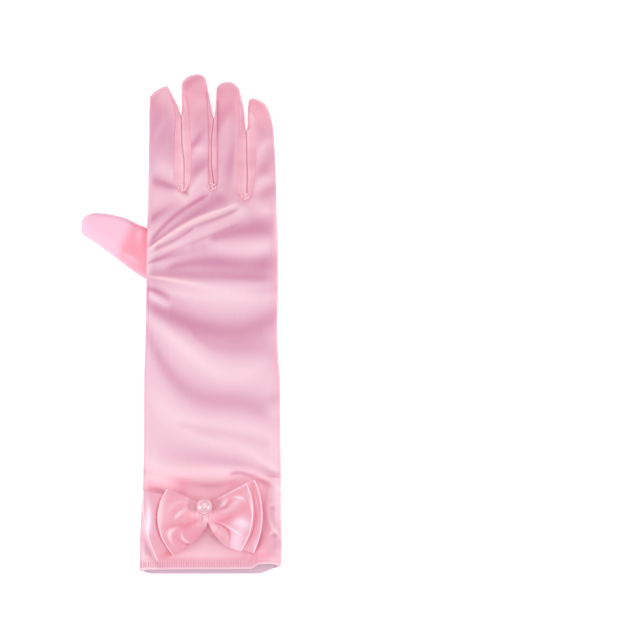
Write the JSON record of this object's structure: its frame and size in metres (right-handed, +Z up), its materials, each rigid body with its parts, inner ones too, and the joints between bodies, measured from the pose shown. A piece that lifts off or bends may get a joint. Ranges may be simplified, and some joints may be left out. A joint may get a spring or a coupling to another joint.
{
  "type": "long satin dress glove with a bow and a pearl",
  "caption": "Child's long satin dress glove lying palm down, with seamed finger strips, a set-in thumb, a stitched hem, a layered ribbon bow and a pearl at the cuff.",
  "frame": {"origin": "middle of the bounding box on the surface that the glove lies on", "axes": "+Z up from the palm to the back of the hand, +Y from the cuff to the fingertips, -X towards the thumb"},
  "size_m": [0.1206, 0.3, 0.0291],
  "materials": {
    "satin": "pale pink stretch satin with a soft lengthwise sheen",
    "satin_strip": "pale pink satin, a little deeper where the strips turn down between the fingers",
    "satin_thumb": "pale pink satin, warmer towards its root",
    "satin_hem": "pale matt reverse of the satin, stitched",
    "ribbon": "pink satin ribbon with crisp pressed folds",
    "pearl": "rose pearl lacquer"
  },
  "bodies": {
    "root": {"trank": "satin", "fourchette_index_middle": "satin_strip", "fourchette_middle_ring": "satin_strip", "fourchette_ring_little": "satin_strip", "thumb": "satin_thumb", "cuff_hem": "satin_hem", "bow_lower": "ribbon", "bow_upper": "ribbon", "bow_knot": "ribbon", "pearl": "pearl"}
  },
  "joints": []
}
